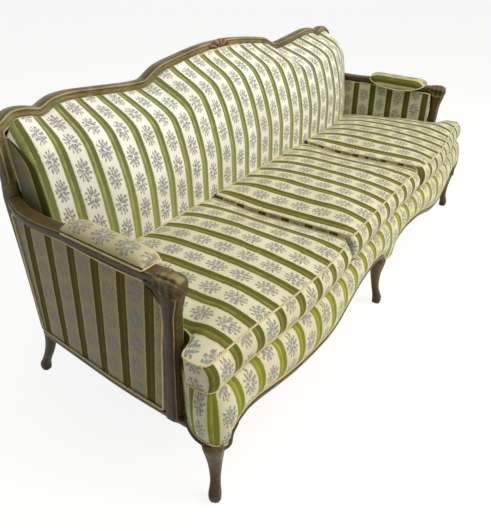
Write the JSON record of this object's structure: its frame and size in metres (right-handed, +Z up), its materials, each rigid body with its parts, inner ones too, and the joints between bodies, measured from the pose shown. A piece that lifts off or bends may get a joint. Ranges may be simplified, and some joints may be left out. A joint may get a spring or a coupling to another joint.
{
  "type": "sofa",
  "caption": "Cabriole sofa with a carved show-wood frame in antique olive, striped floral upholstery, padded armrests, loose seat cushions and cabriole legs",
  "frame": {"origin": "middle of the sofa's footprint on the floor", "axes": "X along the sofa to its right arm as seen from the front at the positive end of the row axis, Y to the back, Z up; the front faces -Y"},
  "size_m": [2.0504, 0.8296, 0.886],
  "materials": {
    "painted_wood": "antiqued olive paint with brown glaze, satin",
    "carved_wood": "antiqued copper-brown paint over carving, satin",
    "frame_wood": "sawn hardwood, raw",
    "striped_fabric": "cream woven ground with green velvet stripes and blue-grey sprigs",
    "lining": "woven lining and webbing, matt",
    "steel": "drawn steel, plain",
    "glide_plastic": "moulded, matt"
  },
  "bodies": {
    "frame": {"crest_rail": "painted_wood", "crest_carving": "carved_wood", "back_post_left": "painted_wood", "back_post_right": "painted_wood", "rear_leg_left": "painted_wood", "rear_leg_right": "painted_wood", "front_leg_left": "painted_wood", "front_leg_centre": "painted_wood", "front_leg_right": "painted_wood", "foot_glides": "glide_plastic", "front_rail": "frame_wood", "rear_rail": "frame_wood", "side_rail_left": "frame_wood", "side_rail_right": "frame_wood", "cross_brace_left": "frame_wood", "cross_brace_right": "frame_wood", "corner_blocks": "frame_wood", "block_screws": "steel", "lower_back_rail": "frame_wood", "back_uprights": "frame_wood", "back_webbing": "lining", "seat_springs": "steel", "spring_clips": "steel", "seat_deck": "lining", "dust_cover": "lining", "arm_rail_left": "painted_wood", "arm_rail_right": "painted_wood", "arm_post_left": "painted_wood", "arm_post_right": "painted_wood", "arm_tack_rail_left": "frame_wood", "arm_tack_rail_right": "frame_wood", "inner_arm_left": "striped_fabric", "inner_arm_right": "striped_fabric", "outer_arm_left": "striped_fabric", "outer_arm_right": "striped_fabric", "armrest_left": "striped_fabric", "armrest_right": "striped_fabric", "front_moulding_left": "painted_wood", "front_moulding_right": "painted_wood", "side_moulding_left": "painted_wood", "side_moulding_right": "painted_wood", "apron_cover": "striped_fabric", "back_pad": "striped_fabric", "outer_back": "striped_fabric"},
    "seat_cushion_left": {"seat_cushion_left": "striped_fabric"},
    "seat_cushion_middle": {"seat_cushion_middle": "striped_fabric"},
    "seat_cushion_right": {"seat_cushion_right": "striped_fabric"}
  },
  "joints": [
    {"name": "lift_cushion_left", "type": "slide", "parent": "frame", "child": "seat_cushion_left", "axis": [0, -0.9205, 0.3907], "range_m": [0, 0.6]},
    {"name": "lift_cushion_middle", "type": "slide", "parent": "frame", "child": "seat_cushion_middle", "axis": [0, -0.9205, 0.3907], "range_m": [0, 0.6]},
    {"name": "lift_cushion_right", "type": "slide", "parent": "frame", "child": "seat_cushion_right", "axis": [0, -0.9205, 0.3907], "range_m": [0, 0.6]}
  ]
}
